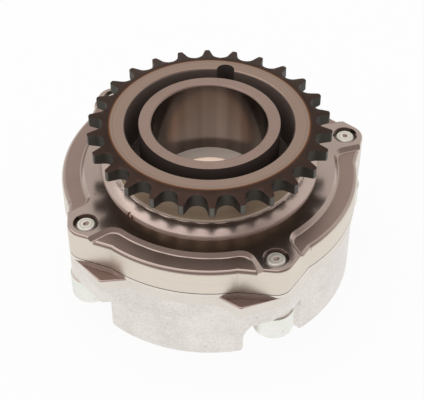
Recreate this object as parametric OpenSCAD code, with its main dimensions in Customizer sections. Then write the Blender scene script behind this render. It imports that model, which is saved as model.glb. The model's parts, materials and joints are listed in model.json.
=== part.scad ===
// Vane-type cam phaser with a chain sprocket, all lengths in millimetres.
// +Z runs along the camshaft axis, from the closed front of the housing up to the sprocket.
// The origin lies on that axis, in the plane of the housing's front face.
// Angles are counted from +X. The middle of the widest oil chamber lies at +Y.

/* [Sprocket] */
// Number of sprocket teeth
tooth_count = 26; // [25:1:30]
// Pitch of the timing chain
chain_pitch = 8; // [7.8:0.05:8.6]
// Diameter of the chain's rollers
roller_d = 5; // [4.6:0.1:5.2]
// Height of the tooth tips above the pitch circle
tooth_rise = 1.9; // [1.5:0.1:2.2]
// Thickness of the sprocket disc at its ring face
sprocket_w = 4.6; // [4:0.1:6]
// Thickness of the teeth at their tips
tip_w = 3.3; // [2.6:0.1:3.6]
// Drop of the tooth tips below the ring face
tip_drop = 0.9; // [0.4:0.1:1.2]
// Radial width of the machined ring face
ring_face_w = 4.2; // [3.2:0.1:5]
// Angle of a tooth tip from +X
tooth_angle = 105.6; // [90:0.1:120]
// Height of the ring face above the plate
sprocket_rise = 15.9; // [14:0.1:20]
// Radius of the half-round notch in the sprocket's mouth
notch_r = 2.6; // [1.5:0.1:3]
// Depth of the notch along the axis
notch_depth = 7; // [4:0.5:12]
// Angle of the notch from +X
notch_angle = 93.2; // [60:0.1:120]

/* [Neck and collar] */
// Radial gap between the hub and the sprocket's mouth
pocket_gap = 4.1; // [3.4:0.1:5]
// Chamfer at the sprocket's mouth
mouth_chamfer = 0.4; // [0.2:0.1:0.8]
// Length of the bearing that carries the sprocket on the hub
journal_len = 8.7; // [6:0.1:12]
// Wall of the neck under the sprocket
neck_wall = 3.1; // [2.6:0.1:3.8]
// Fillet at the foot of the neck
neck_fillet = 1.2; // [0.6:0.1:1.6]
// Radial width of the collar round the neck
collar_w = 4.2; // [3.4:0.1:5]
// Height of the collar above the plate, at the neck
collar_h = 2.3; // [2:0.1:3.5]
// Radius of the collar's crowned top
collar_crown = 10.5; // [9:0.5:16]
// Slope of the crowned top where it starts, degrees
collar_slope = 20; // [10:1:24]
// Rounding of the collar's edge
collar_round = 0.7; // [0.4:0.1:1]

/* [Plate] */
// Thickness of the plate
plate_t = 9.4; // [8:0.1:12]
// Overhang of the plate's round edge over the housing wall
plate_overhang = 0.3; // [0:0.1:1]
// Nose radius of the ears round the bolts
ear_nose_r = 5.3; // [4.6:0.1:5.8]
// Slope of the ear flanks to the tangent, degrees
ear_flank = 32; // [30:1:38]
// Rounding of the ears' upper edge
ear_round = 0.9; // [0.4:0.1:1.2]
// Radial width of the lowered arcs between the ears
arc_w = 5.2; // [4:0.1:6]
// Drop of the lowered arcs
arc_drop = 1.2; // [1:0.1:2]
// Half width of an ear's raised tab on its narrow side
tab_narrow = 6.6; // [5.6:0.1:7.2]
// Half width of an ear's raised tab on its broad side
tab_broad = 7.7; // [7:0.1:8.4]
// Corner radius between the tabs and the raised middle
tab_corner_r = 3; // [1.5:0.1:4]
// Rounding of the lowered arcs' outer edge
edge_round = 1.5; // [0.6:0.1:2]

/* [Bolts] */
// Radial inset of the bolt axes from the housing wall's outside
bolt_inset = 0.5; // [0:0.1:1.5]
// Angle between the two bolts beside the widest chamber
wide_step = 117; // [112:0.5:120]
// Angle between the bolts on each flank
side_step = 82; // [79:0.5:84]
// Thread diameter of the bolts
bolt_d = 6; // [5:0.5:7]
// Diameter of the bolt heads
bolt_head_d = 11.6; // [10:0.1:12.4]
// Height of the bolt heads
bolt_head_h = 8.4; // [5:0.1:10]
// Width across the flats of the bolt's hexagon socket
bolt_socket_w = 5; // [4:0.5:6]
// Chamfer round the bolt heads
bolt_head_chamfer = 0.8; // [0.4:0.1:1.2]
// Chamfer at the bolt ends
bolt_end_chamfer = 0.65; // [0.4:0.05:1]
// Radius and depth of the dimple in the bolt ends
bolt_dimple = 0.7; // [0.4:0.1:1]
// Countersink at the mouths of the plate's threaded holes
bolt_sink = 0.6; // [0.3:0.1:1]
// Depth of the bolt ends below the plate's top
bolt_recess = 0.35; // [0.1:0.05:1]

/* [Housing] */
// Height of the housing from its front face to the plate
housing_h = 26.7; // [24:0.1:32]
// Radius of the oil chambers
chamber_r = 38.5; // [36:0.1:40]
// Thickness of the wall round the chambers
wall_t = 4.7; // [4:0.1:6]
// Thickness of the housing's front wall
floor_t = 5; // [4:0.1:7]
// Half angle of the shoes between the chambers
shoe_half = 19; // [17:0.5:20]
// Height of the narrow land under the plate
land_h = 1.2; // [0.8:0.1:2]
// Thickness of the housing's bolt ears
ear_t = 8.7; // [7:0.1:10]
// Radial reach of the two front gussets beyond the housing wall
gusset_reach = 5.3; // [4:0.1:6]
// Angle from a front bolt to the corner of its gusset
gusset_end = 15; // [12:0.5:17]
// Angle from a front bolt to where its gusset meets the wall
gusset_foot = 22.5; // [21:0.5:26]
// Rounding of the gussets' corners
gusset_round = 1.5; // [0.5:0.1:2]
// Radius of the hollows round the bolt heads
bolt_hollow_r = 9.5; // [8.5:0.1:10.5]
// Outward shift of those hollows from the bolt axes
bolt_hollow_shift = 2; // [1:0.1:3]
// Rounding where those hollows run out at the front face
bolt_hollow_round = 2.5; // [1:0.1:3.5]
// Height of the turned band under the land
band_h = 3.6; // [2:0.1:5]
// Step from the band in to the cast wall below it
band_step = 0.3; // [0.1:0.05:0.6]
// Rounding of the front face's outer edge
front_round = 1.5; // [0.5:0.1:2.5]

/* [Rotor] */
// Outside radius of the hub
hub_r = 20.3; // [19:0.1:21]
// Radius of the hub's bore for the camshaft
hub_bore_r = 16.6; // [15:0.1:17.4]
// Depth of the hub's bore down to the camshaft seat
hub_bore_depth = 24.2; // [20:0.1:28]
// Chamfer at the hub's mouth
hub_chamfer = 0.5; // [0.2:0.1:1]
// Drop of the hub's end below the ring face
hub_drop = 0.1; // [0:0.1:2]
// Radius of the hole for the camshaft bolt
through_r = 12; // [9:0.1:13.5]
// Radius of the rotor between its vanes
core_r = 26; // [24:0.1:28]
// Radius of the front boss that runs in the housing
boss_r = 18; // [17:0.1:20]
// Depth of the boss behind the housing's front face
boss_drop = 1; // [0.4:0.1:2]
// Radius of the bolt seat sunk in the boss
bolt_seat_r = 15; // [14:0.1:16]
// Depth of that seat
bolt_seat_depth = 2; // [1:0.1:4]
// Angle through which the rotor turns
phasing_range = 25; // [18:0.5:26]
// Angle that the free vanes stay short of the shoes
vane_side_gap = 1; // [0.5:0.1:2]
// Angle that the stop vane stays short of the shoes
stop_gap = 0.1; // [0.05:0.05:0.3]

/* [Seals] */
// Width of the tip seals
seal_w = 2; // [1.5:0.1:2.4]
// Radial height of the tip seals
seal_h = 2.4; // [2:0.1:3]
// Radial room for the leaf spring behind a seal
leaf_room = 1.1; // [0.8:0.1:1.5]
// Thickness of the leaf springs
leaf_t = 0.25; // [0.15:0.05:0.4]
// Length of the leaf springs
leaf_len = 15; // [10:0.5:18]

/* [Lock pin] */
// Angle from the wide vane's seal to the lock pin
lock_side = 13; // [12:0.5:15]
// Diameter of the lock pin
lock_pin_d = 8; // [6:0.1:9]
// Length of the lock pin
lock_pin_len = 12.5; // [11:0.1:14]
// Diameter of the pin's nose
lock_nose_d = 6.4; // [5:0.1:7]
// Length of the nose
lock_nose_len = 4; // [3:0.1:5]
// Diameter of the spring's hole in the pin
lock_well_d = 5.4; // [4:0.1:6]
// Depth of the spring's hole
lock_well_depth = 6; // [4:0.1:7]
// Radial wall of the hardened bush that the nose drops into
lock_bush_wall = 2.2; // [1.5:0.1:3]
// Length of the bush
lock_bush_len = 5; // [4.5:0.1:6]
// Thickness of the disc that holds the spring
lock_disc_t = 2; // [1.5:0.1:3]
// Radius of the vent in that disc
lock_vent_r = 1; // [0.5:0.1:1.5]
// Wire diameter of the lock spring
lock_wire_d = 0.7; // [0.5:0.05:0.9]
// Number of turns of the lock spring
lock_turns = 6; // [4:0.5:8]

/* [Clearances] */
// Radial clearance of the bearings and sliding pins
running_clearance = 0.05; // [0.02:0.01:0.1]
// End clearance of the rotor between the front wall and the plate
face_clearance = 0.05; // [0.02:0.01:0.1]
// Radial clearance of the vanes and shoes, bridged by the seals
tip_clearance = 0.3; // [0.2:0.05:0.5]
// Radial clearance of the seals' tips
seal_clearance = 0.1; // [0.05:0.01:0.15]
// Clearance of pieces that sit in a slot or a seat
seat_clearance = 0.05; // [0.02:0.01:0.1]
// Radial clearance of the bolts in the housing
bolt_clearance = 0.3; // [0.2:0.05:0.5]

/* [Hidden] */
$fn = 96;

// Overshoot of the cutting shapes
cut = 1;
// Share by which a rounding's arc is oversize
arc_lap = 0.02;

// Levels along the axis
seam_z = housing_h;
plate_top = seam_z + plate_t;
arc_z = plate_top - arc_drop;
face_z = plate_top + sprocket_rise;
disc_z = face_z - sprocket_w;
collar_top = plate_top + collar_h;
pocket_z = seam_z + journal_len;
hub_top = face_z - hub_drop;
cam_seat_z = hub_top - hub_bore_depth;
shelf_z = seam_z - land_h;
ear_z = shelf_z - ear_t;
rotor_z = floor_t + face_clearance;
rotor_top = seam_z - face_clearance;
rotor_h = rotor_top - rotor_z;

// Radii about the axis
pitch_r = chain_pitch / (2 * sin(180 / tooth_count));
tip_r = pitch_r + tooth_rise;
pocket_r = hub_r + pocket_gap;
ring_face_r = pocket_r + ring_face_w;
neck_r = pocket_r + neck_wall;
collar_r = neck_r + collar_w;
body_r = chamber_r + wall_t;
plate_r = body_r + plate_overhang;
arc_r = plate_r - arc_w;
bolt_r = body_r - bolt_inset;
ear_r = bolt_r + ear_nose_r;
gusset_r = body_r + gusset_reach;
vane_tip_r = chamber_r - tip_clearance;
shoe_tip_r = core_r + tip_clearance;

// Roller seat of the tooth gaps, by the usual proportions of a roller chain
seat_r = 0.505 * roller_d + 0.069 * pow(roller_d, 1 / 3);
seat_half = 70 - 45 / tooth_count;

// Bolt angles, and the chambers that lie between them
front_step = 360 - wide_step - 2 * side_step;
chamber_steps = [wide_step, side_step, front_step, side_step];
first_bolt = 90 - wide_step / 2;
bolt_angles = [
    first_bolt,
    first_bolt + wide_step,
    first_bolt + wide_step + side_step,
    first_bolt - side_step
];

// Half widths of the tabs at the first and the last end of each lowered arc
first_tabs = [tab_broad, tab_narrow, tab_narrow, tab_broad];
last_tabs = [tab_broad, tab_broad, tab_narrow, tab_narrow];
// Radius of the corner circles' centres, and the angle by which a lowered arc's pieces overlap
corner_r = arc_r + tab_corner_r * (1 - arc_lap);
corner_turn = 3;

// Angle from a bolt to where the ear's flank meets the plate's round edge
flank_foot = ear_flank - acos((bolt_r * cos(ear_flank) + ear_nose_r) / plate_r);
// Angles where the round edge's rounding starts and the flank's ends, so that the two overlap
arc_start = flank_foot + 0.25;
flank_end = flank_foot + 0.6;

// Vanes at rest, against the stop that the rotor turns away from
function vane_gap(i) = i == 0 ? stop_gap : vane_side_gap;
function vane_width(i) = chamber_steps[i] - 2 * shoe_half - phasing_range - 2 * vane_gap(i);
function vane_start(i) = bolt_angles[i] + shoe_half + vane_gap(i);
function vane_middle(i) = vane_start(i) + vane_width(i) / 2;

// Lock pin with its nose level with the vane's upper face
lock_r = (core_r + chamber_r) / 2;
lock_angle = vane_middle(0) - lock_side;
lock_nose_z = rotor_top - seat_clearance;
lock_pin_z = lock_nose_z - lock_pin_len;
lock_bore_r = lock_pin_d / 2 + running_clearance;
lock_bush_r = lock_nose_d / 2 + 2 * running_clearance + lock_bush_wall;
lock_disc_z = rotor_z + seat_clearance;
lock_spring_z = lock_disc_z + lock_disc_t + seat_clearance;
lock_spring_top = lock_pin_z + lock_well_depth - seat_clearance;
lock_coil_r = (lock_well_d - lock_wire_d) / 2 - 2 * running_clearance;

// Slots behind the seals
slot_depth = seal_h + leaf_room;

// Point at a radius and an angle
function polar(r, a) = [r * cos(a), r * sin(a)];

// Sector of a ring, from angle a0 to angle a1, under half a turn
module ring_sector(r0, r1, a0, a1) {
    far = 2 * r1;
    intersection() {
        difference() {
            circle(r1);
            if (r0 > 0) circle(r0);
        }
        polygon([[0, 0], polar(far, a0), polar(far, a0 + (a1 - a0) / 3),
                 polar(far, a0 + 2 * (a1 - a0) / 3), polar(far, a1)]);
    }
}

// Children repeated at each bolt, with +X pointing outwards through the bolt
module at_bolts() {
    for (a = bolt_angles) rotate(a) children();
}

// Section that rounds an upper edge, where the side lies at x = r and the top at y = z
// Its arc is a little large, so that it crosses both faces instead of only touching them
module edge_section(r, z, size) {
    difference() {
        translate([r - size, z - size]) square(size + cut);
        translate([r - size, z - size]) circle(size * (1 + arc_lap));
    }
}

// Outline of one ear, with straight flanks that run on into the round plate
module ear_outline() {
    normal = [cos(ear_flank), sin(ear_flank)];
    shoulder = [bolt_r, 0] + ear_nose_r * normal;
    foot = (bolt_r * cos(ear_flank) + ear_nose_r) * normal;
    translate([bolt_r, 0]) circle(ear_nose_r);
    polygon([[0, 0], [foot[0], -foot[1]], [shoulder[0], -shoulder[1]], shoulder, foot]);
}

// Outline of the plate, and of the land that it rests on
module plate_outline() {
    circle(plate_r);
    at_bolts() ear_outline();
}

// Cutter along the flank on the +Y side of an ear, for an upper edge at level z
module flank_edge(z, size) {
    run = ear_r / 4;
    translate([bolt_r, 0, 0]) rotate(ear_flank) translate([ear_nose_r, run, 0])
        rotate([90, 0, 0]) linear_extrude(run) edge_section(0, z, size);
}

// Cutter round the nose of an ear, for an upper edge at level z
module nose_edge(z, size) {
    translate([bolt_r, 0, 0]) rotate(-ear_flank)
        rotate_extrude(angle = 2 * ear_flank) edge_section(ear_nose_r, z, size);
}

// Area between two bolts where the plate is lowered, as far as the tabs at its two ends
module lowered_area(step, first_w, last_w) {
    first = corner_angle(first_w);
    last = step - corner_angle(last_w);
    ring_sector(arc_r, 2 * ear_r, first, last);
    lowered_end(first_w);
    rotate(step) mirror([0, 1]) lowered_end(last_w);
}

// End of a lowered area beside a tab of this half width, with its round corner
module lowered_end(half_w) {
    angle = corner_angle(half_w);
    centre = polar(corner_r, angle);
    translate(centre) circle(tab_corner_r);
    polygon([[centre[0], half_w], [2 * ear_r, half_w], polar(2 * ear_r, angle + corner_turn),
             polar(corner_r, angle + corner_turn), centre]);
}

// Angle from a bolt to the corner centre beside a tab of this half width
function corner_angle(half_w) = asin((half_w + tab_corner_r * (1 - arc_lap)) / corner_r);

// Rounding of the lowered edge along a flank, from a tab of this half width to the round edge
module lowered_flank_edge(half_w) {
    far = 2 * ear_r;
    intersection() {
        flank_edge(arc_z, edge_round);
        translate([0, 0, arc_z - edge_round - cut]) linear_extrude(edge_round + 3 * cut)
            polygon([polar(half_w / sin(flank_end), flank_end), [far, half_w], polar(far, flank_end)]);
    }
}

// Rounding of the lowered edge between two bolts
module lowered_edge(step, first_w, last_w) {
    rotate(arc_start) rotate_extrude(angle = step - 2 * arc_start)
        edge_section(plate_r, arc_z, edge_round);
    lowered_flank_edge(first_w);
    rotate(step) mirror([0, 1, 0]) lowered_flank_edge(last_w);
}

// Rounding of an ear's upper edge, along its nose and both flanks
module ear_edge() {
    nose_edge(plate_top, ear_round);
    for (side = [0, 1]) mirror([0, side, 0]) flank_edge(plate_top, ear_round);
}

// Gap between two teeth, with the roller's seat on +X
module tooth_gap() {
    flank = [pitch_r - seat_r * cos(seat_half), seat_r * sin(seat_half)];
    run = tip_r + cut - flank[0];
    mouth = flank + run * [1, 1 / tan(seat_half)];
    translate([pitch_r, 0]) circle(seat_r);
    polygon([flank, mouth, [mouth[0], -mouth[1]], [flank[0], -flank[1]]]);
}

// Half section of the sprocket disc, the neck and the collar
module sprocket_section() {
    tip_top = face_z - tip_drop;
    foot = [neck_r, collar_top];
    translate([0, seam_z]) square([neck_r, sprocket_rise + plate_t - sprocket_w / 2]);
    polygon([[0, disc_z], [ring_face_r, disc_z], [tip_r, tip_top - tip_w], [tip_r, tip_top],
             [ring_face_r, face_z], [0, face_z]]);
    collar_section();
    difference() {
        translate(foot) square(neck_fillet);
        translate(foot + [neck_fillet, neck_fillet]) circle(neck_fillet);
    }
}

// Half section of the collar, flat under the neck's fillet and crowned from there to its round edge
module collar_section() {
    flat_r = neck_r + neck_fillet;
    crown = [flat_r, collar_top] - collar_crown * [sin(collar_slope), cos(collar_slope)];
    edge_x = collar_r - collar_round - crown[0];
    edge_y = sqrt(pow(collar_crown - collar_round, 2) - pow(edge_x, 2));
    edge = crown + [edge_x, edge_y];
    contact = crown + [edge_x, edge_y] * collar_crown / (collar_crown - collar_round);
    translate([0, seam_z]) square([flat_r, plate_t + collar_h]);
    intersection() {
        translate(crown) circle(collar_crown);
        translate([0, seam_z]) square([contact[0], plate_t + collar_h]);
    }
    translate([0, seam_z]) square([collar_r, edge[1] - seam_z]);
    translate(edge) circle(collar_round * (1 + arc_lap));
}

// Sprocket, neck, collar and rear plate, forged and machined in one piece
module sprocket_plate() {
    color("#85756e") difference() {
        union() {
            rotate_extrude() sprocket_section();
            translate([0, 0, seam_z]) linear_extrude(plate_t) plate_outline();
        }
        at_bolts() ear_edge();
        for (i = [0:3]) rotate(bolt_angles[i]) {
            translate([0, 0, arc_z]) linear_extrude(arc_drop + cut)
                lowered_area(chamber_steps[i], first_tabs[i], last_tabs[i]);
            lowered_edge(chamber_steps[i], first_tabs[i], last_tabs[i]);
        }
        for (i = [0:tooth_count - 1])
            rotate(tooth_angle + (i + 0.5) * 360 / tooth_count)
                translate([0, 0, disc_z - cut]) linear_extrude(sprocket_w + 2 * cut) tooth_gap();
        translate([0, 0, seam_z - cut])
            cylinder(r = hub_r + running_clearance, h = journal_len + 2 * cut);
        translate([0, 0, pocket_z]) cylinder(r = pocket_r, h = face_z - pocket_z + cut);
        translate([0, 0, face_z - mouth_chamfer])
            cylinder(r1 = pocket_r, r2 = pocket_r + mouth_chamfer + cut, h = mouth_chamfer + cut);
        rotate(notch_angle) translate([pocket_r, 0, face_z - notch_depth])
            cylinder(r = notch_r, h = notch_depth + cut);
        at_bolts() translate([bolt_r, 0, 0]) plate_bolt_hole();
        lock_bush_seat();
    }
}

// Threaded hole in the plate with its countersunk mouth
module plate_bolt_hole() {
    hole_r = bolt_d / 2 + seat_clearance;
    translate([0, 0, seam_z - cut]) cylinder(r = hole_r, h = plate_t + 2 * cut);
    translate([0, 0, plate_top - bolt_sink])
        cylinder(r1 = hole_r, r2 = hole_r + bolt_sink + cut, h = bolt_sink + cut);
}

// Blind hole under the plate that the lock bush sits in
module lock_bush_seat() {
    rotate(lock_angle) translate([lock_r, 0, seam_z - cut])
        cylinder(r = lock_bush_r + seat_clearance, h = lock_bush_len + 2 * seat_clearance + cut);
}

// Gusset on the +Y side of a front bolt, straight from the ear's nose to a round corner
module gusset() {
    nose = [bolt_r, 0];
    corner = polar(gusset_r, gusset_end);
    reach = corner - nose;
    start = nose + polar(ear_nose_r, atan2(reach[1], reach[0]) - acos(ear_nose_r / norm(reach)));
    foot = corner + 1.2 * (polar(body_r, gusset_foot) - corner);
    back = (start - corner) / norm(start - corner);
    inward = (foot - corner) / norm(foot - corner);
    half = acos(back * inward) / 2;
    run = gusset_round / tan(half);
    translate(corner + (back + inward) / norm(back + inward) * gusset_round / sin(half))
        circle(gusset_round);
    polygon([[0, 0], start, corner + run * back, corner + run * inward, foot]);
}

// The two gussets, which face each other across the front chamber
module front_gussets() {
    rotate(bolt_angles[2]) gusset();
    rotate(bolt_angles[3]) mirror([0, 1]) gusset();
}

// Hollows in the housing's wall, round the bolt heads
module bolt_hollows() {
    at_bolts() translate([bolt_r + bolt_hollow_shift, 0]) circle(bolt_hollow_r);
}

// Section that rounds the front edge of a hollow
module hollow_edge_section() {
    edge = bolt_hollow_r + bolt_hollow_round;
    difference() {
        translate([bolt_hollow_r - cut, -cut]) square(bolt_hollow_round + cut);
        translate([edge, bolt_hollow_round]) circle(bolt_hollow_round * (1 + arc_lap));
    }
}

// Oil chambers, and the round space for the rotor's core
module chambers() {
    circle(shoe_tip_r);
    for (i = [0:3])
        ring_sector(0, chamber_r, bolt_angles[i] + shoe_half,
                    bolt_angles[i] + chamber_steps[i] - shoe_half);
}

// Housing cup with its four shoes and bolt ears, die-cast in one piece
module housing() {
    band_z = shelf_z - band_h;
    cast_r = body_r - band_step;
    hole_r = bolt_d / 2 + bolt_clearance;
    color("#d3ccc0") difference() {
        union() {
            linear_extrude(shelf_z) difference() {
                circle(cast_r);
                bolt_hollows();
            }
            translate([0, 0, band_z]) linear_extrude(band_h) circle(body_r);
            translate([0, 0, ear_z]) linear_extrude(ear_t) {
                circle(cast_r);
                at_bolts() ear_outline();
                front_gussets();
            }
            translate([0, 0, shelf_z]) linear_extrude(land_h) plate_outline();
        }
        rotate_extrude() mirror([0, 1]) edge_section(cast_r, 0, front_round);
        at_bolts() translate([bolt_r + bolt_hollow_shift, 0, 0]) rotate_extrude() hollow_edge_section();
        translate([0, 0, floor_t]) linear_extrude(housing_h) chambers();
        translate([0, 0, -cut]) cylinder(r = boss_r + running_clearance, h = floor_t + 2 * cut);
        at_bolts() {
            translate([bolt_r, 0, ear_z - cut]) cylinder(r = hole_r, h = housing_h);
            translate([shoe_tip_r - cut, -seal_w / 2 - seat_clearance, floor_t])
                cube([slot_depth + cut, seal_w + 2 * seat_clearance, housing_h]);
        }
    }
}

// One vane, a sector of the rotor
module vane(i) {
    ring_sector(core_r - cut, vane_tip_r, vane_start(i), vane_start(i) + vane_width(i));
}

// Rotor with its vanes, its hub and its front boss
module rotor() {
    color("#94867f") difference() {
        union() {
            translate([0, 0, rotor_z]) linear_extrude(rotor_h) {
                circle(core_r);
                for (i = [0:3]) vane(i);
            }
            translate([0, 0, boss_drop]) cylinder(r = boss_r, h = rotor_z);
            translate([0, 0, rotor_top - cut]) cylinder(r = hub_r, h = hub_top - rotor_top + cut);
        }
        translate([0, 0, boss_drop - cut]) cylinder(r = through_r, h = hub_top);
        translate([0, 0, boss_drop - cut]) cylinder(r = bolt_seat_r, h = bolt_seat_depth + cut);
        translate([0, 0, cam_seat_z]) cylinder(r = hub_bore_r, h = hub_bore_depth + cut);
        translate([0, 0, hub_top - hub_chamfer])
            cylinder(r1 = hub_bore_r, r2 = hub_bore_r + hub_chamfer + cut, h = hub_chamfer + cut);
        for (i = [0:3]) rotate(vane_middle(i))
            translate([vane_tip_r - slot_depth, -seal_w / 2 - seat_clearance, rotor_z - cut])
                cube([slot_depth + cut, seal_w + 2 * seat_clearance, rotor_h + 2 * cut]);
        rotate(lock_angle) translate([lock_r, 0, rotor_z - cut])
            cylinder(r = lock_bore_r, h = rotor_h + 2 * cut);
    }
}

// Half section of a clamp bolt
module bolt_section() {
    thread_r = bolt_d / 2;
    head_r = bolt_head_d / 2;
    head_z = ear_z - bolt_head_h;
    end_z = plate_top - bolt_recess;
    polygon([[0, head_z], [head_r - bolt_head_chamfer, head_z],
             [head_r, head_z + bolt_head_chamfer], [head_r, ear_z],
             [thread_r, ear_z], [thread_r, end_z - bolt_end_chamfer],
             [thread_r - bolt_end_chamfer, end_z], [bolt_dimple, end_z], [0, end_z - bolt_dimple]]);
}

// The four bolts, put in from the front, whose ends show in the plate
module clamp_bolts() {
    head_z = ear_z - bolt_head_h;
    socket_depth = bolt_head_h / 2;
    color("#c8cbb9") at_bolts() translate([bolt_r, 0, 0]) difference() {
        rotate_extrude() bolt_section();
        translate([0, 0, head_z - cut])
            cylinder(r = bolt_socket_w / sqrt(3), h = socket_depth + cut, $fn = 6);
    }
}

// Strip seal in the tip of vane i
module vane_seal(i) {
    color("#4a4744") rotate(vane_middle(i)) translate([0, 0, rotor_z]) linear_extrude(rotor_h)
        intersection() {
            translate([vane_tip_r - seal_h, -seal_w / 2]) square([seal_h + tip_clearance, seal_w]);
            circle(chamber_r - seal_clearance);
        }
}

// Strip seal in the tip of shoe i
module shoe_seal(i) {
    color("#4a4744") rotate(bolt_angles[i]) translate([0, 0, rotor_z]) linear_extrude(rotor_h)
        difference() {
            translate([core_r, -seal_w / 2]) square([tip_clearance + seal_h, seal_w]);
            circle(core_r + seal_clearance);
        }
}

// Bowed leaf spring, its ends at x = 0 and the top of its bow towards +X
module leaf_spring() {
    bow = leaf_room - leaf_t - 2 * seat_clearance;
    bend_r = (pow(leaf_len / 2, 2) + pow(bow, 2)) / (2 * bow);
    width = seal_w - 2 * seat_clearance;
    color("#b9b6ae") translate([0, width / 2, (rotor_z + rotor_top) / 2]) rotate([90, 0, 0])
        linear_extrude(width) intersection() {
            translate([bow - bend_r, 0]) difference() {
                circle(bend_r + leaf_t);
                circle(bend_r);
            }
            translate([0, -leaf_len / 2]) square([leaf_room, leaf_len]);
        }
}

// Leaf spring behind the seal of vane i
module vane_seal_spring(i) {
    rotate(vane_middle(i)) translate([vane_tip_r - slot_depth + seat_clearance, 0, 0]) leaf_spring();
}

// Leaf spring behind the seal of shoe i
module shoe_seal_spring(i) {
    rotate(bolt_angles[i]) translate([shoe_tip_r + slot_depth - seat_clearance, 0, 0])
        mirror([1, 0, 0]) leaf_spring();
}

// Children moved to the lock pin's axis
module at_lock() {
    rotate(lock_angle) translate([lock_r, 0, 0]) children();
}

// Lock pin, hollow for its spring
module lock_pin() {
    body_len = lock_pin_len - lock_nose_len;
    color("#a8a49b") at_lock() difference() {
        union() {
            translate([0, 0, lock_pin_z]) cylinder(r = lock_pin_d / 2, h = body_len);
            translate([0, 0, lock_pin_z]) cylinder(r = lock_nose_d / 2, h = lock_pin_len);
        }
        translate([0, 0, lock_pin_z - cut]) cylinder(r = lock_well_d / 2, h = lock_well_depth + cut);
    }
}

// Round wire swept along a helix from level z0 to level z1
module helix_wire(coil_r, wire_r, z0, z1, turns) {
    sides = 8;
    steps = 16 * turns;
    climb = (z1 - z0 - 2 * wire_r) / steps;
    ring = [for (i = [0:steps], k = [0:sides - 1])
        let (turn = 360 * turns * i / steps, a = 360 * k / sides, r = coil_r + wire_r * cos(a))
        [r * cos(turn), r * sin(turn), z0 + wire_r + climb * i + wire_r * sin(a)]];
    wall = [for (i = [0:steps - 1], k = [0:sides - 1])
        let (next = (k + 1) % sides)
        [i * sides + k, (i + 1) * sides + k, (i + 1) * sides + next, i * sides + next]];
    first = [for (k = [0:sides - 1]) k];
    last = [for (k = [sides - 1:-1:0]) steps * sides + k];
    polyhedron(ring, concat([first, last], wall));
}

// Coil spring behind the lock pin
module lock_pin_spring() {
    color("#c2bfb6") at_lock()
        helix_wire(lock_coil_r, lock_wire_d / 2, lock_spring_z, lock_spring_top, lock_turns);
}

// Hardened bush in the plate that the pin's nose drops into
module lock_pin_bush() {
    color("#8b8884") at_lock() translate([0, 0, seam_z]) difference() {
        cylinder(r = lock_bush_r, h = lock_bush_len);
        translate([0, 0, -cut])
            cylinder(r = lock_nose_d / 2 + 2 * running_clearance, h = lock_bush_len + 2 * cut);
    }
}

// Disc that closes the pin's bore and carries the spring
module lock_pin_disc() {
    color("#9a968e") at_lock() translate([0, 0, lock_disc_z]) difference() {
        cylinder(r = lock_bore_r - seat_clearance, h = lock_disc_t);
        translate([0, 0, -cut]) cylinder(r = lock_vent_r, h = lock_disc_t + 2 * cut);
    }
}

sprocket_plate();
housing();
rotor();
clamp_bolts();
for (i = [0:3]) {
    vane_seal(i);
    vane_seal_spring(i);
    shoe_seal(i);
    shoe_seal_spring(i);
}
lock_pin();
lock_pin_spring();
lock_pin_bush();
lock_pin_disc();
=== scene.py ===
import json
import math

import bmesh
import bpy
from mathutils import Matrix, Vector


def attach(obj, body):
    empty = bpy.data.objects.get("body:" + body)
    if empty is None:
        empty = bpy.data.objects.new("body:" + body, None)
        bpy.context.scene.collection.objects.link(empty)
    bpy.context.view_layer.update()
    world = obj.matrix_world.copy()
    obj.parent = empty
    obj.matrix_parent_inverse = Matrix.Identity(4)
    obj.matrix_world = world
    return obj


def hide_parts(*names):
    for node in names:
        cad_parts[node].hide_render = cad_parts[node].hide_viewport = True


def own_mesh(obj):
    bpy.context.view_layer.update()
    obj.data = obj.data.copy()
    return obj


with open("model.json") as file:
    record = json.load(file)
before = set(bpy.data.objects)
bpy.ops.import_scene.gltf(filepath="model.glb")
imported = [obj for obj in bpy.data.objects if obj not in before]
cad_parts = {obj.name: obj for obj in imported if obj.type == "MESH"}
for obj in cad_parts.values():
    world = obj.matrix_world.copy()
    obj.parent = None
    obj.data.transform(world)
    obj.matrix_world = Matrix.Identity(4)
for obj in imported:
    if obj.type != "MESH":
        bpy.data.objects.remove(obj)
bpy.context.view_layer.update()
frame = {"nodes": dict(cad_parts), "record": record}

MM = 0.001

# Sprocket ring with its pocket and notch, in millimetres from the camshaft axis and the front face
TOOTH_TIP_R = 35.1
RING_FACE_R = 28.6
DISC_Z = 47.4
POCKET_R = 24.4
NOTCH_R = 2.6
NOTCH_PLACE = (-1.362, 24.362)
NOTCH_Z = 45.0

# Hub of the rotor
HUB_R = 20.3
HUB_BORE_R = 16.6
THROUGH_R = 12.0
CAM_SEAT_Z = 27.7

# Neck, collar and plate with its lowered arcs
NECK_R = 27.5
COLLAR_R = 31.7
COLLAR_Z = 38.4
PLATE_R = 43.5
PLATE_TOP_Z = 36.1
ARC_R = 38.3
ARC_Z = 34.9

# Housing: its joint with the plate, the gussets' shelves, the turned band and the outside
SEAM_Z = 26.7
SHELF_Z = 25.5
BAND_Z = 21.9
BODY_R = 43.2

# Clamp bolts by their bearings in degrees, and the marks on their ends
BOLT_R = 42.7
BOLT_BEARINGS = (31.5, 148.5, 230.5, 309.5)
FRONT_BOLT_BEARINGS = BOLT_BEARINGS[2:]
BOLT_SINK_R = 3.45
THREAD_MARK_R = 2.4
DIMPLE_R = 1.3

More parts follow.
